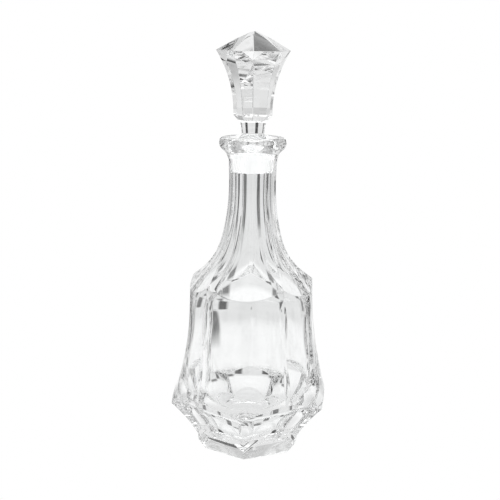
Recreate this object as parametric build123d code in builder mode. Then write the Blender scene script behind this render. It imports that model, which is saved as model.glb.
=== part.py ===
from build123d import *
import math
import os

# A five-sided cut glass decanter, 330 mm tall over its stopper.
# Z = 0 is the plane that the foot rests on and Z runs up the axis of the bottle.
# The middle of one of the five faces looks along -Y. All sizes are in millimetres.
# An outline point is (distance from the axis, height).

SIDES = 5
STEP = 360 / SIDES
HALF_STEP = STEP / 2
FACE_TURN = -90  # azimuth of the middle of the first face
CORNER_TURN = FACE_TURN + HALF_STEP  # azimuth of the first corner
FLAT = math.cos(math.radians(HALF_STEP))  # apothem over corner radius of a pentagon
FAR = 130  # beyond every outline, for the outside of a cutter

# Neck, lip and bore
NECK_WAIST_Z = 212  # where the neck is slimmest
NECK_PANEL = 16.9  # axis to the middle of a neck panel, at the waist
NECK_STRIP = 18.2  # axis to the narrow strip between two panels, at the waist
NECK_TOP_Z = 238
NECK_TOP_PANEL = 18.1
NECK_TOP_STRIP = 19.4
FLARE_START_Z = 170  # where the long gentle curve ends and the tighter flare starts
FLARE_END_Z = 142
PANEL_CURVE = 190
PANEL_FLARE = 64
STRIP_CURVE = 165
STRIP_FLARE = 50
LIP_ROOT = (19.2, 232.5)
LIP_WIDEST = (26.1, 244.2)
LIP_TOP_Z = 249.2
LIP_CREST_RADIUS = 22.2
THROAT = (13, 242.4)
BORE_TOP_RADIUS = 11.4
BORE_TOP_Z = 240.5
BORE_BOTTOM_RADIUS = 10.3
BORE_BOTTOM_Z = 216

# Body
FACE_TOP = (47.2, 250)  # middle of a face, carried up past the shoulder
FACE_WAIST = (47.6, 112)
FACE_WIDEST = (62.5, 38.5)
FACE_OFFSET = 32  # each face is turned about an axis this far behind the bottle's own
UNDERCUT_LOW = (31, 8)  # the hollow cut under each corner
UNDERCUT_MID = (50.4, 38.5)
UNDERCUT_TOP = (62.3, 50.3)
UNDERCUT_RUN = 60  # how far the undercut is carried on past the body
FLUTE_RADIUS = 12  # the rim of the wheel that grinds the flutes along the corners
UPPER_FLUTE = [(51.3, 128), (50.2, 108), (53, 88)]
LOWER_FLUTE = [(54, 82), (57.1, 64), (62.7, 44)]

# Foot
FOOT_APOTHEM = 28.1
FOOT_RISE = 0.6  # how far the foot's flats lean out for each millimetre up
FOOT_FLAT_TOP_Z = 30
COLLAR_RADIUS = 40.5
COLLAR_TOP_Z = 26
PUNT_RADIUS = 20
PUNT_DEPTH = 2

# Hollow, from the floor up to the bore
HOLLOW_FLOOR = (25, 14.5)
HOLLOW_WALL = [(36.5, 28.5), (43.5, 41), (46, 60), (43, 100), (38.5, 127), (19.5, 158), (13.2, 176)]
HOLLOW_TOP = (BORE_BOTTOM_RADIUS, 198)

# Stopper
TOTAL_HEIGHT = 330
STOPPER_TURN = 9.3  # how far the stopper's faces are turned from the bottle's
GIRDLE_RADIUS = 30.6
GIRDLE_Z = 315.4
HEAD_MID = (16.8, 295.5)
HEAD_FOOT = (13, 266)
HEAD_UNDER = (10.2, 262.2)
APEX_Z = 332  # where the crown's facets would meet
CROWN_CURVE = 6  # the tip is polished round
CROWN_EASE = 24  # slope of the blank that the tip is rounded from
STEM_TOP = (10.6, 262.2)
STEM_WAIST = (9, 253.4)
STEM_FOOT = (9.3, 249.6)
PLUG_SHOULDER = (10.6, 248.6)
PLUG_TOP_Z = 244
PLUG_BOTTOM_Z = 221.8
PLUG_EDGE = 0.8
PLUG_CLEARANCE = 0.06  # between the ground plug and the ground bore, all round


def radial_plane(azimuth):
    """The upright plane through the axis: its X runs out along the azimuth, its Y up the bottle."""
    turn = math.radians(azimuth)
    out = (math.cos(turn), math.sin(turn), 0)
    across = (math.sin(turn), -math.cos(turn), 0)
    return Plane(origin=(0, 0, 0), x_dir=out, z_dir=across)


def flare_bend(start, curve):
    """Angle and distance from the axis where the neck's long curve ends."""
    angle = math.asin((NECK_WAIST_Z - FLARE_START_Z) / curve)
    return angle, start + curve * (1 - math.cos(angle))


def bore_radius(z):
    """Radius of the ground bore at a height, carried on past its ends."""
    share = (z - BORE_BOTTOM_Z) / (BORE_TOP_Z - BORE_BOTTOM_Z)
    return BORE_BOTTOM_RADIUS + share * (BORE_TOP_RADIUS - BORE_BOTTOM_RADIUS)


def neck_cutter(azimuth, top, waist, curve, flare):
    """What lies outside one panel of the neck, or outside one of the strips between panels."""
    angle, bend = flare_bend(waist, curve)
    last = math.asin(math.sin(angle) + (FLARE_START_Z - FLARE_END_Z) / flare)
    end = bend + flare * (math.cos(angle) - math.cos(last))
    with BuildPart() as cutter:
        with BuildSketch(radial_plane(azimuth)):
            with BuildLine():
                collar = TangentArc((waist, NECK_WAIST_Z), (top, NECK_TOP_Z), tangent=(0, 1))
                gentle = TangentArc((waist, NECK_WAIST_Z), (bend, FLARE_START_Z), tangent=(0, -1))
                tight = TangentArc(gentle @ 1, (end, FLARE_END_Z), tangent=gentle % 1)
                reach = (FAR - end) / math.tan(last)
                Polyline(tight @ 1, (FAR, FLARE_END_Z - reach), (FAR, NECK_TOP_Z), collar @ 1)
            make_face()
        extrude(amount=FAR, both=True)
    return cutter.part


def face_barrel(azimuth):
    """The solid inside one face, which is turned about an axis behind the bottle's own."""
    plane = radial_plane(azimuth)
    axis_foot = plane.from_local_coords(Vector(-FACE_OFFSET, 0, 0))
    with BuildPart() as barrel:
        with BuildSketch(plane):
            with BuildLine():
                upper = Line(FACE_TOP, FACE_WAIST)
                lower = TangentArc(upper @ 1, FACE_WIDEST, tangent=upper % 1)
                skirt = Line(lower @ 1, (FACE_WIDEST[0], 0))
                Polyline(skirt @ 1, (-FACE_OFFSET, 0), (-FACE_OFFSET, FACE_TOP[1]), FACE_TOP)
            make_face()
        revolve(axis=Axis(axis_foot, (0, 0, 1)))
    return barrel.part


def undercut(azimuth):
    """The hollow cut under one corner of the body."""
    with BuildPart() as cutter:
        with BuildSketch(radial_plane(azimuth)):
            with BuildLine():
                hollow = ThreePointArc(UNDERCUT_LOW, UNDERCUT_MID, UNDERCUT_TOP)
                rise = Line(hollow @ 1, (hollow @ 1) + (hollow % 1) * UNDERCUT_RUN)
                Polyline(rise @ 1, (FAR, (rise @ 1).Y), (FAR, 0), (UNDERCUT_LOW[0], 0), hollow @ 0)
            make_face()
        extrude(amount=FAR, both=True)
    return cutter.part


def flute_wheel(azimuth, points):
    """The rim of the wheel that grinds a hollow flute along a corner, touching these points."""
    with BuildLine() as touch:
        arc = ThreePointArc(*points)
    plane = radial_plane(azimuth)
    centre = plane.from_local_coords(arc.arc_center)
    with BuildPart() as wheel:
        with Locations(Plane(origin=centre, x_dir=plane.x_dir, z_dir=plane.z_dir)):
            Torus(arc.radius - FLUTE_RADIUS, FLUTE_RADIUS)
    return wheel.part


def foot_flat(azimuth):
    """What lies outside one flat of the foot."""
    top = FOOT_APOTHEM + FOOT_RISE * FOOT_FLAT_TOP_Z
    with BuildPart() as cutter:
        with BuildSketch(radial_plane(azimuth)):
            with BuildLine():
                Polyline((FOOT_APOTHEM, 0), (top, FOOT_FLAT_TOP_Z), (FAR, FOOT_FLAT_TOP_Z), (FAR, 0), close=True)
            make_face()
        extrude(amount=FAR, both=True)
    return cutter.part


def head_prism(azimuth):
    """The solid inside one face of the stopper's head, from its under-bevel to its crown."""
    girdle = (GIRDLE_RADIUS * FLAT, GIRDLE_Z)
    with BuildPart() as prism:
        with BuildSketch(radial_plane(azimuth)):
            with BuildLine():
                Polyline((-FAR, HEAD_UNDER[1]), HEAD_UNDER, HEAD_FOOT)
                ThreePointArc(HEAD_FOOT, HEAD_MID, girdle)
                crown = Line(girdle, (0, APEX_Z))
                far_crown = (crown @ 1) + (crown % 1) * FAR
                Polyline(crown @ 1, far_crown, (-FAR, far_crown.Y), (-FAR, HEAD_UNDER[1]))
            make_face()
        extrude(amount=FAR, both=True)
    return prism.part


def turned(outline_builder):
    """A solid turned about the bottle's axis from an outline drawn by a function."""
    with BuildPart() as solid:
        with BuildSketch(Plane.XZ):
            with BuildLine():
                outline_builder()
            make_face()
        revolve(axis=Axis.Z)
    return solid.part


def lip_outline():
    under = Spline(LIP_ROOT, LIP_WIDEST, tangents=((0.25, 1), (0, 1)), tangent_scalars=(0.8, 1.3))
    bead = ThreePointArc(under @ 1, (LIP_WIDEST[0] - 1.2, LIP_TOP_Z - 1.6), (LIP_CREST_RADIUS + 1.2, LIP_TOP_Z))
    Polyline(bead @ 1, (0, LIP_TOP_Z), (0, LIP_ROOT[1]), LIP_ROOT)


def hollow_outline():
    Line((0, HOLLOW_FLOOR[1]), HOLLOW_FLOOR)
    Spline(HOLLOW_FLOOR, *HOLLOW_WALL, HOLLOW_TOP, tangents=((1, 0), (0, 1)))
    bore = Polyline(HOLLOW_TOP, (BORE_BOTTOM_RADIUS, BORE_BOTTOM_Z), (BORE_TOP_RADIUS, BORE_TOP_Z), THROAT)
    funnel = TangentArc(bore @ 1, (LIP_CREST_RADIUS, LIP_TOP_Z), tangent=(1, 0.25))
    over = LIP_TOP_Z + PUNT_DEPTH
    Polyline(funnel @ 1, (LIP_CREST_RADIUS, over), (0, over), (0, HOLLOW_FLOOR[1]))


def punt_outline():
    dome = TangentArc((0, PUNT_DEPTH), (PUNT_RADIUS, 0), tangent=(1, 0))
    Polyline(dome @ 1, (0, 0), (0, PUNT_DEPTH))


def crown_blank_outline():
    lean = math.radians(CROWN_EASE)
    tip = TOTAL_HEIGHT - CROWN_CURVE
    ease = (CROWN_CURVE * math.sin(lean), tip + CROWN_CURVE * math.cos(lean))
    mid = (CROWN_CURVE * math.sin(lean / 2), tip + CROWN_CURVE * math.cos(lean / 2))
    cap = ThreePointArc((0, TOTAL_HEIGHT), mid, ease)
    drop = math.tan(lean) * (FAR - ease[0])
    Polyline(cap @ 1, (FAR, ease[1] - drop), (FAR, 0), (0, 0), cap @ 0)


def shank_outline():
    Polyline((0, PLUG_BOTTOM_Z), (0, STEM_TOP[1]), STEM_TOP)
    waist = Spline(STEM_TOP, STEM_WAIST, STEM_FOOT, tangents=((-0.15, -1), (0.3, -1)))
    shoulder = Line(waist @ 1, PLUG_SHOULDER)
    top = (bore_radius(PLUG_TOP_Z) - PLUG_CLEARANCE, PLUG_TOP_Z)
    edge = (bore_radius(PLUG_BOTTOM_Z) - PLUG_CLEARANCE, PLUG_BOTTOM_Z + PLUG_EDGE)
    Polyline(shoulder @ 1, top, edge, (edge[0] - PLUG_EDGE, PLUG_BOTTOM_Z), (0, PLUG_BOTTOM_Z))


faces = [FACE_TURN + STEP * i for i in range(SIDES)]
corners = [CORNER_TURN + STEP * i for i in range(SIDES)]

# The bottle: five faces, five undercuts, a foot, a panelled neck, a turned lip and the hollow.
with BuildPart() as bottle:
    add(face_barrel(faces[0]))
    for azimuth in faces[1:]:
        add(face_barrel(azimuth), mode=Mode.INTERSECT)
    for azimuth in faces:
        add(neck_cutter(azimuth, NECK_TOP_PANEL, NECK_PANEL, PANEL_CURVE, PANEL_FLARE), mode=Mode.SUBTRACT)
    for azimuth in corners:
        add(neck_cutter(azimuth, NECK_TOP_STRIP, NECK_STRIP, STRIP_CURVE, STRIP_FLARE), mode=Mode.SUBTRACT)
        add(undercut(azimuth), mode=Mode.SUBTRACT)
        add(flute_wheel(azimuth, UPPER_FLUTE), mode=Mode.SUBTRACT)
        add(flute_wheel(azimuth, LOWER_FLUTE), mode=Mode.SUBTRACT)
    with BuildSketch(Plane.XY):
        Circle(COLLAR_RADIUS)
    extrude(amount=COLLAR_TOP_Z)
    for azimuth in corners:
        add(foot_flat(azimuth), mode=Mode.SUBTRACT)
    with BuildSketch(Plane.XY.offset(NECK_TOP_Z)):
        Circle(FAR)
    extrude(amount=FAR, mode=Mode.SUBTRACT)
    add(turned(lip_outline))
    add(turned(hollow_outline), mode=Mode.SUBTRACT)
    add(turned(punt_outline), mode=Mode.SUBTRACT)

# The stopper: a five-sided head with a pointed crown, a turned stem and a ground plug.
with BuildPart() as stopper:
    add(head_prism(faces[0] + STOPPER_TURN))
    for azimuth in faces[1:]:
        add(head_prism(azimuth + STOPPER_TURN), mode=Mode.INTERSECT)
    add(turned(crown_blank_outline), mode=Mode.INTERSECT)
    add(turned(shank_outline))

bottle.part.label = "bottle"
stopper.part.label = "stopper"
os.makedirs("parts", exist_ok=True)
export_step(bottle.part, "parts/bottle.step")
export_step(stopper.part, "parts/stopper.step")
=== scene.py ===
import math

import bpy
import numpy as np
from mathutils import Matrix, Vector, noise


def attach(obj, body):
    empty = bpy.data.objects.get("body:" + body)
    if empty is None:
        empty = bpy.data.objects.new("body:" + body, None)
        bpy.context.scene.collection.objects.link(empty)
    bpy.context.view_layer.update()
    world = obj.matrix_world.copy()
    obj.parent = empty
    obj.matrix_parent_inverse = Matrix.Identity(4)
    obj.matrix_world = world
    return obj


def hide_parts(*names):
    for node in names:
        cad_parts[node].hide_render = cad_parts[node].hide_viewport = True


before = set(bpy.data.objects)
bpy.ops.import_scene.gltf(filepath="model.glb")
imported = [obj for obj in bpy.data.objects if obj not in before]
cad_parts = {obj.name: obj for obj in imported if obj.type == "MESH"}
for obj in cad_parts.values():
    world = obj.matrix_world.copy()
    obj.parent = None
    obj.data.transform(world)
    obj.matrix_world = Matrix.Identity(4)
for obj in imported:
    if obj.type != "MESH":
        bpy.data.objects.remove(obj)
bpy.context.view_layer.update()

# lengths are in mm and angles in degrees, unless a line says otherwise; a point is (radius, height)
MM = 0.001
SIDES = 5
WEDGE = 72
HALF = 36.0  # from the middle of a face to a corner
FACE = -90.0  # azimuth of the middle of the first face
TURN = 9.3  # how far the stopper is turned from the bottle

# the neck: the heights of its top, its waist, where the flare tightens and where it runs straight
NECK_TOP, NECK_WAIST, NECK_BEND, NECK_FOOT = 238, 212, 170, 142
PANEL = (18.1, 16.9, 190, 64)  # radius at the top and at the waist, radius of the easy and of the tight curve
STRIP = (19.4, 18.2, 165, 50)

# height, radius at the middle of a face, radius at a corner: the faces flatten on the way down
BODY = [(10, 78, 90), (38.5, 62.5, 69), (50, 57, 62.2), (64, 52.6, 58.6), (80, 49.8, 55.3), (98, 48.1, 52.6),
        (120, 47.5, 50.6), (150, 47.3, 50), (250, 47, 49.6)]
UNDERCUT = [(31, 8), (50.4, 38.5), (62.3, 50.3)]
UNDERCUT_TOP = 56  # above this the undercut leans away, clear of the body
UNDERCUT_AWAY = 3
UPPER_FLUTE = [(50.3, 128), (50, 108), (54, 88)]
LOWER_FLUTE = [(54.6, 82), (57.5, 64), (62.8, 44)]
FLUTE_RADIUS = 12  # how hollow the flutes are ground
CORNER_RADIUS = 54  # about how far out the flutes are
FOOT_FLAT = 28.1  # from the axis to a face of the foot
FOOT_LEAN = 0.6  # how fast the foot widens upwards
CORE = 40.5  # the round core between the foot and the undercut
CORE_BELOW, FOOT_BELOW, LIP_ABOVE = 34, 32, 228  # the core, the foot and the lip count only below or above these
LIP = [(19.2, 232.5), (21.6, 237.4), (25.0, 240.8), (26.1, 244.2)]

# rounding of the creases
ROUNDED = 0.35
SHARP = 0.12

# the inside of the bottle, from the widest part of the lip to the floor of the hollow
LIP_CREST = [(26.1, 244.5), (26.08, 245.4), (25.98, 246.2), (25.75, 247.0), (25.4, 247.7), (24.9, 248.3),
             (24.3, 248.75), (23.6, 249.06), (22.9, 249.18), (22.2, 249.2), (21.5, 249.1), (20.8, 248.8)]
FUNNEL = [(20.8, 248.8), (17.2, 245.6), (13.0, 242.4)]
THROAT = [(13.0, 242.4), (11.9, 241.5), (11.4, 240.2)]
BORE_TOP, BORE_FOOT = (11.4, 240.2), (10.3, 216)
HOLLOW = [BORE_FOOT, (10.3, 198), (13.2, 176), (19.5, 158), (38.5, 127), (43, 100), (46, 60),
          (43.5, 41), (36.5, 28.5), (25, 14.5)]
FLOOR_DIP = 0.5
PUNT_RADIUS, PUNT_DEPTH = 20, 2
BLOWN_FROM = 214  # the wall is a little uneven below this height

# the stopper
PLUG_FOOT = 221.8
PLUG_EDGE = 0.8
PLUG_CLEARANCE = 0.06
PLUG_TAPER = 1.1 / 24.5  # a little less than the taper of the bore
PLUG_TOP = 244
STEM = [(10.6, 248.4), (9.3, 249.9), (9.0, 253.4), (10.6, 262.6)]
STEM_TOP = 261.6
HEAD_FOOT, HEAD_MIDDLE = (13, 266), (16.8, 295.5)
BEVEL_RISE = 2.8 / 3.8  # the bevel under the head
GIRDLE = 30.6 * math.cos(math.radians(HALF))  # from the axis to a face
GIRDLE_Z = 315.4
CROWN_TOP = 332  # where the faces of the crown would meet
TIP_RADIUS, TIP_CENTRE = 6.0, 324  # the rounded tip
TIP_EDGE = (2.44, 329.48)
TIP_ANGLE = 24  # of the cone below it


# ---------- small tools ----------
def cosd(a):
    return np.cos(np.radians(a))


def smin(a, b, k):
    """The smaller of two distances, with the crease between them rounded over k mm."""
    h = np.maximum(k - np.abs(a - b), 0) / k
    return np.minimum(a, b) - h * h * k / 4


def smax(a, b, k):
    return -smin(-a, -b, k)


def circle(p, q, r):
    """Centre and radius of the circle through three points."""
    m = 2 * np.array([[q[0] - p[0], q[1] - p[1]], [r[0] - p[0], r[1] - p[1]]])
    v = np.array([q[0] ** 2 + q[1] ** 2 - p[0] ** 2 - p[1] ** 2, r[0] ** 2 + r[1] ** 2 - p[0] ** 2 - p[1] ** 2])
    c = np.linalg.solve(m, v)
    return c[0], c[1], math.hypot(p[0] - c[0], p[1] - c[1])


def spline(points, start, end, steps):
    """A smooth curve through points, with these directions at its two ends."""
    p = np.array(points, float)
    t = np.concatenate([[0], np.cumsum(np.hypot(*np.diff(p, axis=0).T))])
    n, h = len(p), np.diff(t)
    a, b = np.zeros((n, n)), np.zeros((n, 2))
    a[0, 0] = a[-1, -1] = 1
    b[0] = np.array(start, float) / math.hypot(*start)
    b[-1] = np.array(end, float) / math.hypot(*end)
    for i in range(1, n - 1):
        a[i, i - 1:i + 2] = h[i], 2 * (h[i] + h[i - 1]), h[i - 1]
        b[i] = 3 * (h[i] * (p[i] - p[i - 1]) / h[i - 1] + h[i - 1] * (p[i + 1] - p[i]) / h[i])
    m = np.linalg.solve(a, b)
    out = []
    for s in np.linspace(0, t[-1], steps):
        i = min(max(int(np.searchsorted(t, s)) - 1, 0), n - 2)
        u = (s - t[i]) / h[i]
        out.append((2 * u**3 - 3 * u**2 + 1) * p[i] + (u**3 - 2 * u**2 + u) * h[i] * m[i]
                   + (3 * u**2 - 2 * u**3) * p[i + 1] + (u**3 - u**2) * h[i] * m[i + 1])
    return np.array(out)


def spaced(a, b, n, edges=(0.12, 0.3, 0.55, 0.95)):
    """Weights from 0 to just below 1 between a and b, closer together by the creases at the ends."""
    length = np.maximum(np.abs(b - a), 1e-6)
    scale = np.minimum(1, length / (3.2 * edges[-1]))
    head = [e * scale / length for e in edges]
    tail = [1 - e * scale / length for e in reversed(edges)]
    middle = [head[-1] + (tail[0] - head[-1]) * i / (n + 1) for i in range(1, n + 1)]
    return [np.zeros_like(length)] + head + middle + tail


# ---------- the bottle's outer surfaces, each as a distance from the axis ----------
def neck(z, top, waist, easy_curve, tight_curve):
    """A panel or strip of the neck: an easy curve through the waist, then the tighter flare onto the shoulder."""
    rise = ((NECK_TOP - NECK_WAIST) ** 2 + (top - waist) ** 2) / (2 * (top - waist))
    up = waist + rise - np.sqrt(np.maximum(rise**2 - (z - NECK_WAIST) ** 2, 1))
    easy = waist + easy_curve - np.sqrt(np.maximum(easy_curve**2 - (NECK_WAIST - z) ** 2, 1))
    s0 = (NECK_WAIST - NECK_BEND) / easy_curve
    s1 = s0 + (NECK_BEND - NECK_FOOT) / tight_curve
    bend = waist + easy_curve * (1 - math.sqrt(1 - s0**2))
    s = np.clip(s0 + (NECK_BEND - z) / tight_curve, s0, s1)
    tight = bend + tight_curve * (math.sqrt(1 - s0**2) - np.sqrt(1 - s**2))
    tight = tight + np.maximum(NECK_FOOT - z, 0) * s1 / math.sqrt(1 - s1**2)
    return np.where(z > NECK_WAIST, up, np.where(z > NECK_BEND, easy, tight))


def panel(z):
    return neck(z, *PANEL)


def strip(z):
    return neck(z, *STRIP)


def body_curve(points):
    """A curve up the body through points of height and radius, parallel to the axis at its top."""
    (z0, r0), (z1, r1) = points[:2]
    return spline(points, (z1 - z0, r1 - r0), (1, 0), 400)


MIDDLE = body_curve([(z, a) for z, a, b in BODY])
EDGE = body_curve([(z, b) for z, a, b in BODY])


def face(z, c):
    """A face of the body: in plan an arc through its middle and its two corners."""
    mid = np.interp(z, MIDDLE[:, 0], MIDDLE[:, 1])
    edge = np.interp(z, EDGE[:, 0], EDGE[:, 1])
    back = (edge**2 - mid**2) / (2 * (mid - edge * math.cos(math.radians(HALF))))
    return np.sqrt((mid + back) ** 2 - (back * np.sin(np.radians(c))) ** 2) - back * cosd(c)


UNDER = circle(*UNDERCUT)


def undercut(z):
    x, y, r = UNDER
    ground = x - np.sqrt(r**2 - (np.minimum(z, UNDERCUT_TOP) - y) ** 2)
    return ground + np.maximum(z - UNDERCUT_TOP, 0) * UNDERCUT_AWAY


WHEELS = (circle(*UPPER_FLUTE), circle(*LOWER_FLUTE))


def wheel(z, arc):
    """Where a wheel grinds a flute along the middle of a corner: far out where it doesn't reach."""
    x, y, r = arc
    return np.where(np.abs(z - y) < r, x - np.sqrt(np.maximum(r**2 - (z - y) ** 2, 0)), 999)


def corner_cut(z, d):
    """The cuts along a corner, d degrees to the side of it: the neck's flat strip and two hollow flutes."""
    side = CORNER_RADIUS * np.tan(np.radians(d))
    depth = np.minimum(wheel(z, WHEELS[0]), wheel(z, WHEELS[1]))
    return np.minimum(strip(z) / cosd(d), (depth + side**2 / (2 * FLUTE_RADIUS)) / cosd(d))


def flat(z):
    return FOOT_FLAT + FOOT_LEAN * z


BEAD = spline(LIP, (0.1, 1), (0, 1), 24)


def outer(z, c):
    """The outside of the bottle at height z, c degrees from the middle of a face (0 to 36)."""
    d, past = HALF - c, 2 * HALF - c
    body = smin(face(z, c), face(z, past), SHARP)
    body = smin(body, corner_cut(z, d), SHARP)
    body = smin(body, smin(panel(z) / cosd(c), panel(z) / cosd(past), ROUNDED), ROUNDED)
    body = smin(body, smin(undercut(z) / cosd(d), undercut(z) / cosd(HALF + c), ROUNDED), ROUNDED)
    body = np.where(z < CORE_BELOW, smax(body, CORE, 0.5), body)
    feet = smin(flat(z) / cosd(d), flat(z) / cosd(HALF + c), ROUNDED)
    body = np.where(z < FOOT_BELOW, smin(body, feet, 0.4), body)
    bead = np.interp(z, BEAD[:, 1], BEAD[:, 0], left=0)
    return np.where(z > LIP_ABOVE, smax(body, bead, 1.6), body)


# ---------- where the creases run ----------
Z = np.linspace(0, 250, 2501)
C = np.linspace(0, HALF, 73)
CUT_FOOT = 50.3  # the corner cuts start here
CUT_WIDEST = 34.4  # a crease comes no nearer to the corner than this, which leaves room for the columns beside it
PANEL_TOP = 231  # the lip starts above this


def corner_line():
    """For each height, the angle at which the corner's own cuts meet the face or panel beside them."""
    line = np.full(len(Z), CUT_WIDEST)
    for k, z in enumerate(Z):
        gap = np.minimum(face(z, C), panel(z) / cosd(C)) - corner_cut(z, HALF - C)
        over = np.nonzero(gap > 0)[0]
        if len(over):
            i = max(over[0], 1)
            t = gap[i - 1] / (gap[i - 1] - gap[i]) if gap[i - 1] < 0 else 0
            line[k] = min(C[i - 1] + t * (C[i] - C[i - 1]), CUT_WIDEST)
    line[Z < CUT_FOOT] = line[np.argmax(Z >= CUT_FOOT)]
    line[Z > PANEL_TOP] = line[np.searchsorted(Z, PANEL_TOP)]
    return line


def crossing(f, lo, hi):
    """For each angle, the height between lo and hi at which f(z, c) rises through zero."""
    out = []
    z = np.linspace(lo, hi, 600)
    for c in C:
        v = f(z, c)
        i = int(np.argmax(v > 0))
        out.append(z[i] if i == 0 else z[i - 1] + (z[i] - z[i - 1]) * v[i - 1] / (v[i - 1] - v[i]))
    return np.array(out)


def cut_body(z, c):
    return np.minimum(face(z, c), corner_cut(z, HALF - c))


LINE = corner_line()
CREASES = [
    crossing(lambda z, c: flat(z) / cosd(HALF - c) - CORE, 0, 40),
    crossing(lambda z, c: undercut(z) / cosd(HALF - c) - CORE, 8, 40),
    crossing(lambda z, c: undercut(z) / cosd(HALF - c) - cut_body(z, c), 30, 56),
    crossing(lambda z, c: face(z, c) - np.minimum(panel(z) / cosd(c), strip(z) / cosd(HALF - c)), 120, 145),
]


# ---------- the bottle ----------
def outside_points():
    """Angles, heights and radii of the points up one half of a face: every crease runs along a row or a column."""
    counts = (4, 3, 14, 64, 62)  # rows between one crease and the next
    edges = (0.12, 0.3, 0.6, 1.0)  # mm from a crease to the columns beside it
    lip_rows = 26

    def angles(z):
        """The angle of every column at the heights z, which has one row for each row of points."""
        line = np.interp(z, Z, LINE)
        deg = np.degrees(1 / np.interp(z, (0, 20, 50, 130, 165, 240), (32, 42, 60, 50, 24, 18)))
        head = [0 * line] + [x * deg for x in edges]
        tail = [line - x * deg for x in reversed(edges)]
        middle = [head[-1] + (tail[0] - head[-1]) * j / 9 for j in range(1, 9)]
        s = np.minimum(1, (HALF - line) / (3 * edges[-1] * deg))
        near = [line + x * deg * s for x in (0,) + edges]
        far = [HALF - x * deg * s for x in reversed(edges)]
        cols = head + middle + tail + near + [(near[-1] + far[0]) / 2] + far + [HALF + 0 * line]
        return np.array([c[:, i] for i, c in enumerate(cols)]).T

    segments = [k for k, n in enumerate(counts) for _ in range(n + 9)]
    ncol = angles(np.zeros((1, 40))).shape[1]
    c = np.tile(np.linspace(0, HALF, ncol), (len(segments), 1))
    for _ in range(14):  # the heights depend on the angles and the angles on the heights, and they settle
        z = np.empty_like(c)
        for k, n in enumerate(counts):
            pick = [i for i, segment in enumerate(segments) if segment == k]
            ck = c[pick]
            bounds = [0 * ck] + [np.interp(ck, C, line) for line in CREASES] + [0 * ck + PANEL_TOP + 0.5]
            lo, hi = bounds[k], bounds[k + 1]
            w = np.array(spaced(lo, hi, n))
            rows = np.arange(len(pick))
            z[pick] = lo + (hi - lo) * w[rows, rows]
        c = angles(z)
    lip = np.linspace(231.9, 244.0, lip_rows)[:, None] + 0 * c[-1]
    z, c = np.vstack([z, lip]), np.vstack([c, np.tile(c[-1], (lip_rows, 1))])
    return c, z, outer(z, c)


def inside_points():
    """Radii and heights of the rows from the lip down into the hollow."""
    funnel = spline(FUNNEL, (-1, -0.45), (-1, -0.6), 14)[1:]
    throat = spline(THROAT, (-1, -0.6), (-0.045, -1), 8)[1:]
    taper, depth = BORE_TOP[0] - BORE_FOOT[0], BORE_TOP[1] - BORE_FOOT[1]
    bore = [(BORE_TOP[0] - taper * t, BORE_TOP[1] - depth * t) for t in np.linspace(0, 1, 30)[1:]]
    hollow = spline(HOLLOW, (0, -1), (-1, -0.1), 180)[1:]
    radius, height = HOLLOW[-1]
    ground = [(radius * t, height - FLOOR_DIP * (1 - t * t)) for t in np.linspace(1, 0, 14)[1:-1]]
    return [tuple(p) for part in (LIP_CREST, funnel, throat, bore, hollow, ground) for p in part]


def wobble(p, scale, amount, seed):
    return amount * noise.noise(Vector((p[0] / scale + seed, p[1] / scale - seed, p[2] / scale + 2 * seed)))


def blown(p, radius):
    """A point of the inner wall, moved a little sideways as in blown glass, and up or down too on the floor."""
    k = 1 + wobble(p, 26, 0.35, 3.0) / max(radius, 12) * min((BLOWN_FROM - p[2]) / 20, 1)
    return (p[0] * k, p[1] * k, p[2] + (wobble(p, 20, 0.3, 8.0) if radius < 40 and p[2] < 40 else 0))


def skin(rows, foot, crown):
    """Faces between rows of points, closed by a fan to the point foot and one to the point crown."""
    m = len(rows[0])
    verts = [p for row in rows for p in row]
    faces = []
    for a in range(0, len(verts) - m, m):
        faces += [(a + i, a + (i + 1) % m, a + m + (i + 1) % m, a + m + i) for i in range(m)]
    last = len(verts) - m
    verts += [foot, crown]
    faces += [((i + 1) % m, i, last + m) for i in range(m)]
    faces += [(last + i, last + (i + 1) % m, last + m + 1) for i in range(m)]
    return verts, faces


def build_bottle():
    c, z, r = outside_points()
    nrow, ncol = r.shape
    # once round: each half face and its mirror image
    half_faces = [(j, 1) for j in range(ncol)] + [(j, -1) for j in range(ncol - 2, 0, -1)]
    ring = [(j, FACE + WEDGE * f, side) for f in range(SIDES) for j, side in half_faces]

    def row(radii, heights, angles):
        points = []
        for j, base, side in ring:
            t = math.radians(base + angles[j] if side > 0 else base + WEDGE - angles[j])
            points.append((radii[j] * math.cos(t), radii[j] * math.sin(t), heights[j]))
        return points

    def level(radius, height, angles):
        return row([radius] * ncol, [height] * ncol, angles)

    # underneath, from the middle of the punt out to the rounded edge of the foot
    rows = [level(PUNT_RADIUS * t, PUNT_DEPTH * (1 - t * t), c[0]) for t in np.linspace(0, 1, 12)[1:]]
    for s in (0.02, 0.06, 0.2, 0.4, 0.6, 0.8, 0.94):
        rows.append(row([PUNT_RADIUS + (x - 0.55 - PUNT_RADIUS) * s for x in r[0]], [0.0] * ncol, c[0]))
    for inset, height in ((0.5, 0.0), (0.27, 0.035), (0.1, 0.13)):
        rows.append(row([x - inset for x in r[0]], [height] * ncol, c[0]))
    # the outside, from just above that edge
    rows += [row(r[i], z[i], c[i]) for i in range(4, nrow)]
    for radius, height in inside_points():
        points = level(radius, height, c[-1])
        rows.append([blown(p, radius) for p in points] if height < BLOWN_FROM else points)
    return skin(rows, (0, 0, PUNT_DEPTH), (0, 0, HOLLOW[-1][1] - FLOOR_DIP))


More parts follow.
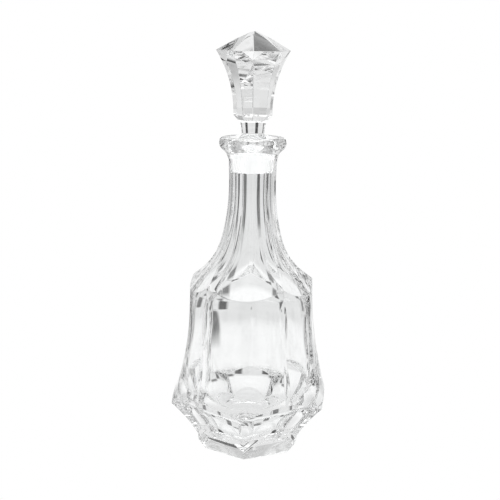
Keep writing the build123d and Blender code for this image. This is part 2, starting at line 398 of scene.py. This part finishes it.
def make(name, verts, faces, turn=0.0):
    mesh = bpy.data.meshes.new(name)
    spin = Matrix.Rotation(math.radians(turn), 4, "Z")
    mesh.from_pydata([spin @ (Vector(v) * MM) for v in verts], [], faces)
    mesh.validate()
    mesh.polygons.foreach_set("use_smooth", [True] * len(mesh.polygons))
    obj = bpy.data.objects.new(name, mesh)
    bpy.context.scene.collection.objects.link(obj)
    return obj


# ---------- the stopper ----------
HEAD = circle(HEAD_FOOT, HEAD_MIDDLE, (GIRDLE, GIRDLE_Z))


def head(z, c):
    """Radius of the stopper's head without its rounded tip, and the radius of the tip."""
    x, y, r = HEAD
    side = x - np.sqrt(np.maximum(r**2 - (z - y) ** 2, 0))
    side = np.where(z < HEAD_FOOT[1], HEAD_FOOT[0] + (z - HEAD_FOOT[1]) * BEVEL_RISE, side)
    crown = GIRDLE * (CROWN_TOP - z) / (CROWN_TOP - GIRDLE_Z)
    cone = TIP_EDGE[0] + (TIP_EDGE[1] - z) / math.tan(math.radians(TIP_ANGLE))
    tip = np.where(z > TIP_EDGE[1], np.sqrt(np.maximum(TIP_RADIUS**2 - (z - TIP_CENTRE) ** 2, 0)), cone)
    r = smin(side, crown, 0.3)
    return smin(r / cosd(c), r / cosd(2 * HALF - c), 0.3), tip


def plug(z):
    return BORE_FOOT[0] + (z - BORE_FOOT[1]) * PLUG_TAPER - PLUG_CLEARANCE


def build_stopper():
    # once round, closer together by the corners
    shares = [0, 4, 8, 12, 16, 20, 24, 28, 30.5, 32.4, 33.8, 34.8, 35.4, 35.75, 36]
    angles = []
    for f in range(SIDES):
        angles += [FACE + WEDGE * f + s for s in shares]
        angles += [FACE + WEDGE * (f + 1) - s for s in reversed(shares[1:-1])]
    around = np.array([abs(((a - FACE + HALF) % WEDGE) - HALF) for a in angles])

    # the plug and the stem are turned: one radius a row
    foot = plug(PLUG_FOOT) - PLUG_EDGE
    turned = [(foot * t, PLUG_FOOT) for t in np.linspace(0, 0.98, 9)[1:]]
    for a in range(0, 91, 15):
        t = math.radians(a)
        turned.append((foot + PLUG_EDGE * math.sin(t), PLUG_FOOT + PLUG_EDGE - PLUG_EDGE * math.cos(t)))
    turned += [(plug(z), z) for z in np.linspace(223.0, 243.6, 32)]
    stem = spline([(plug(PLUG_TOP), PLUG_TOP)] + STEM, (0.03, 1), (0.25, 1), 60)
    turned += [(x, z) for x, z in stem if z < STEM_TOP]
    turned += [(10.45, 261.85), (10.6, 262.2)]
    outline = [([x] * len(angles), z) for x, z in turned]

    # the head from its under side up, with more rows by its edges
    heights = [262.25, 262.4, 262.6, 262.9, 263.4, 264, 264.7, 265.2, 265.6, 265.85, 266, 266.15, 266.4, 266.9]
    heights += list(np.linspace(267.6, 313.2, 60))
    heights += [314.1, 314.6, 314.95, 315.2, 315.33, 315.4, 315.48, 315.6, 315.85, 316.2, 316.8]
    heights += list(np.linspace(317.4, 326.6, 22))
    heights += [327.1, 327.5, 327.9, 328.3, 328.7, 329.1, 329.4, 329.6, 329.78, 329.9, 329.97]
    for z in heights:
        r, tip = head(z, around)
        outline.append((np.maximum(smin(r, tip, 0.8), 0.02), z))

    rows = []
    for radii, z in outline:
        turns = [math.radians(a) for a in angles]
        rows.append([(x * math.cos(t), x * math.sin(t), z) for x, t in zip(radii, turns)])
    return skin(rows, (0, 0, PLUG_FOOT), (0, 0, TIP_CENTRE + TIP_RADIUS))


# ---------- materials ----------
def number(nt, op, *values):
    """A math node: each value is a plain number or the output of another node."""
    n = nt.nodes.new("ShaderNodeMath")
    n.operation = op
    for i, v in enumerate(values):
        if isinstance(v, (int, float)):
            n.inputs[i].default_value = v
        else:
            nt.links.new(v, n.inputs[i])
    return n.outputs[0]


def apart(nt, vector):
    n = nt.nodes.new("ShaderNodeSeparateXYZ")
    nt.links.new(vector, n.inputs[0])
    return n.outputs


def length(nt, vector):
    n = nt.nodes.new("ShaderNodeVectorMath")
    n.operation = "LENGTH"
    nt.links.new(vector, n.inputs[0])
    return n.outputs["Value"]


FROST_EDGE = 0.0006  # metres over which the frost fades
FROST_WANDER = 0.004  # metres by which its edge wanders
FROST_REACH = 0.0135  # metres from the axis: only the bore and what stands in it is ground


def glass(name, low, high):
    """Polished crystal, frosted between the heights low and high, in metres, where it is ground."""
    mat = bpy.data.materials.new(name)
    mat.use_nodes = True
    nt = mat.node_tree
    bsdf = nt.nodes["Principled BSDF"]
    bsdf.inputs["Base Color"].default_value = (0.985, 0.99, 0.99, 1)
    bsdf.inputs["Transmission Weight"].default_value = 1.0
    bsdf.inputs["IOR"].default_value = 1.54
    coords = nt.nodes.new("ShaderNodeTexCoord")
    at = apart(nt, coords.outputs["Object"])
    wave = nt.nodes.new("ShaderNodeTexNoise")
    wave.inputs["Scale"].default_value = 160
    wave.inputs["Detail"].default_value = 3
    nt.links.new(coords.outputs["Object"], wave.inputs["Vector"])
    shift = number(nt, "MULTIPLY", number(nt, "SUBTRACT", wave.outputs["Fac"], 0.5), FROST_WANDER)
    z = number(nt, "ADD", at["Z"], shift)
    above = number(nt, "MULTIPLY", number(nt, "SUBTRACT", z, low), 1 / FROST_EDGE)
    below = number(nt, "MULTIPLY", number(nt, "SUBTRACT", high, z), 1 / FROST_EDGE)
    mask = nt.nodes.new("ShaderNodeClamp")
    nt.links.new(number(nt, "MINIMUM", above, below), mask.inputs["Value"])
    flatten = nt.nodes.new("ShaderNodeCombineXYZ")
    nt.links.new(at["X"], flatten.inputs[0])
    nt.links.new(at["Y"], flatten.inputs[1])
    near = number(nt, "LESS_THAN", length(nt, flatten.outputs[0]), FROST_REACH)
    frosted = number(nt, "MULTIPLY", mask.outputs[0], near)
    clear = number(nt, "SUBTRACT", 1, number(nt, "MULTIPLY", frosted, 0.9))
    nt.links.new(number(nt, "MULTIPLY", frosted, 0.7), bsdf.inputs["Roughness"])
    nt.links.new(clear, bsdf.inputs["Transmission Weight"])
    return mat


bottle = make("decanter_bottle", *build_bottle())
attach(bottle, "bottle_body")
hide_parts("bottle")
bottle.data.materials.append(glass("crystal", 0.2216, 0.2405))

stopper = make("decanter_stopper", *build_stopper(), turn=TURN)
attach(stopper, "stopper_body")
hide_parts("stopper")
stopper.data.materials.append(glass("stopper_crystal", 0.2190, 0.2470))

# ---------- floor and light ----------
SEEN = (1.0, 1.0, 1.0, 1)  # the plain pale backdrop, as the camera sees it past the glass
FLOOR_SIZE = 30.0  # metres from the middle to an edge
FLOOR_SINK = 0.0002  # metres: the foot stands clear of the floor by this
FLOOR_SCALE = 5.0  # metres: the stops along the floor are shares of this
CLOTHS, CLOTH_DARK = 5, 0.88
BOARDS, BOARD_DARK = 10, 0.97
SATIN_GAIN = 1.4  # see satin()
LAMP = 0.8


def shade(nt, stops, value):
    """A number that follows a value through these stops."""
    ramp = nt.nodes.new("ShaderNodeValToRGB")
    band = ramp.color_ramp.elements
    for i, (pos, v) in enumerate(stops):
        e = band[i] if i < 2 else band.new(pos)
        e.position, e.color = pos, (v, v, v, 1)
    nt.links.new(value, ramp.inputs["Fac"])
    return ramp.outputs["Color"]


def flags(nt, at, count, turn):
    """Dark boards stand evenly round the table, and dark cloths lie on it: 1 on one, 0 between them."""
    angle = number(nt, "ARCTAN2", at["Y"], at["X"])
    wave = number(nt, "COSINE", number(nt, "MULTIPLY", number(nt, "ADD", angle, turn), float(count)))
    return shade(nt, [(0.0, 0), (0.45, 0), (0.8, 1), (1.0, 1)], wave)


def darkened(nt, light, dark, mask):
    return number(nt, "MULTIPLY", light, number(nt, "SUBTRACT", 1.0, number(nt, "MULTIPLY", mask, dark)))


def satin(nt, ray):
    """How much brighter the studio is for light that a frosted surface scatters inside the glass."""
    scattered = number(nt, "MINIMUM", ray["Diffuse Depth"], 1.0)
    inside = number(nt, "MINIMUM", ray["Transmission Depth"], 1.0)
    return number(nt, "ADD", 1.0, number(nt, "MULTIPLY", number(nt, "MULTIPLY", scattered, inside), SATIN_GAIN))


floor_mesh = bpy.data.meshes.new("floor")
floor_mesh.from_pydata([(x * FLOOR_SIZE, y * FLOOR_SIZE, 0) for x, y in ((-1, -1), (1, -1), (1, 1), (-1, 1))],
                       [], [(0, 1, 2, 3)])
floor = bpy.data.objects.new("floor", floor_mesh)
bpy.context.scene.collection.objects.link(floor)
floor.location.z = -FLOOR_SINK

# a glowing white table with dark cloths on it and a painted shadow under the decanter, and plain white to the
# camera
floor_material = bpy.data.materials.new("floor")
floor_material.use_nodes = True
ft = floor_material.node_tree
spot = ft.nodes.new("ShaderNodeTexCoord").outputs["Object"]
floor_ray = ft.nodes.new("ShaderNodeLightPath").outputs
away = number(ft, "DIVIDE", length(ft, spot), FLOOR_SCALE)
cloth = flags(ft, apart(ft, spot), CLOTHS, math.pi / 2)
laid = shade(ft, [(0.0, 0), (0.055, 0), (0.1, 1), (0.4, 1), (0.55, 0.3), (1.0, 0.3)], away)
# painted shadow: the table is darker within about 6 cm of the middle, under the decanter, and white from 12 cm
# out; past 0.4 m it fades to light grey
table_tone_with_painted_shadow = shade(ft, [(0.0, 0.78), (0.012, 0.8), (0.024, 1.0), (0.08, 1.0), (0.14, 0.8), (1.0, 0.8)], away)
table = ft.nodes.new("ShaderNodeEmission")
ft.links.new(darkened(ft, table_tone_with_painted_shadow, CLOTH_DARK, number(ft, "MULTIPLY", cloth, laid)), table.inputs["Color"])
ft.links.new(satin(ft, floor_ray), table.inputs["Strength"])
plain = ft.nodes.new("ShaderNodeEmission")
plain.inputs["Color"].default_value = SEEN
pick = ft.nodes.new("ShaderNodeMixShader")
ft.links.new(floor_ray["Is Camera Ray"], pick.inputs["Fac"])
ft.links.new(table.outputs[0], pick.inputs[1])
ft.links.new(plain.outputs[0], pick.inputs[2])
ft.links.new(pick.outputs[0], ft.nodes["Material Output"].inputs["Surface"])
floor_mesh.materials.append(floor_material)

# a light grey room with dark boards low down and a lamp overhead, and plain white to the camera
world = bpy.data.worlds.new("studio")
bpy.context.scene.world = world
world.use_nodes = True
wt = world.node_tree
aim = apart(wt, wt.nodes.new("ShaderNodeTexCoord").outputs["Generated"])
sky_ray = wt.nodes.new("ShaderNodeLightPath").outputs
board = flags(wt, aim, BOARDS, 0.0)
low = shade(wt, [(0.0, 1), (0.35, 1), (0.5, 0), (1.0, 0)], aim["Z"])
room = shade(wt, [(0.0, 0.8), (0.35, 0.8), (0.48, 0.6), (0.7, 0.55), (0.8, 1.0), (1.0, 1.0)], aim["Z"])
lamp = number(wt, "MULTIPLY", shade(wt, [(0.0, 0), (0.74, 0), (0.88, 1), (1.0, 1)], aim["Z"]), LAMP)
sky = number(wt, "ADD", darkened(wt, room, BOARD_DARK, number(wt, "MULTIPLY", board, low)), lamp)
backdrop = wt.nodes.new("ShaderNodeMix")
backdrop.data_type = "RGBA"
wt.links.new(sky_ray["Is Camera Ray"], backdrop.inputs["Factor"])
wt.links.new(number(wt, "MULTIPLY", sky, satin(wt, sky_ray)), backdrop.inputs[6])
backdrop.inputs[7].default_value = SEEN
wt.links.new(backdrop.outputs[2], wt.nodes["Background"].inputs["Color"])
wt.nodes["Background"].inputs["Strength"].default_value = 1.0

# ---------- camera ----------
IMAGE = 500  # the side of the picture
SENSOR = 36  # mm
FOCAL, SHIFT = 1317.8, 1.09  # in the same unit as IMAGE
DISTANCE, HEIGHT = 1.0205, 0.3369  # metres
AZIMUTH, PITCH, ROLL = 5.62, 9.82, 0.93

az = math.radians(AZIMUTH)
optics = bpy.data.cameras.new("camera")
optics.sensor_width = SENSOR
optics.lens = FOCAL / IMAGE * SENSOR
optics.shift_x = -SHIFT / IMAGE
camera = bpy.data.objects.new("camera", optics)
camera.matrix_world = (Matrix.Translation((DISTANCE * math.sin(az), -DISTANCE * math.cos(az), HEIGHT))
                       @ Matrix.Rotation(az, 4, "Z") @ Matrix.Rotation(math.radians(90 - PITCH), 4, "X")
                       @ Matrix.Rotation(math.radians(ROLL), 4, "Z"))
scene = bpy.context.scene
scene.collection.objects.link(camera)
scene.camera = camera
scene.view_settings.view_transform = "Standard"
scene.cycles.max_bounces = 24
scene.cycles.transmission_bounces = 24
scene.cycles.glossy_bounces = 12
scene.cycles.diffuse_bounces = 4
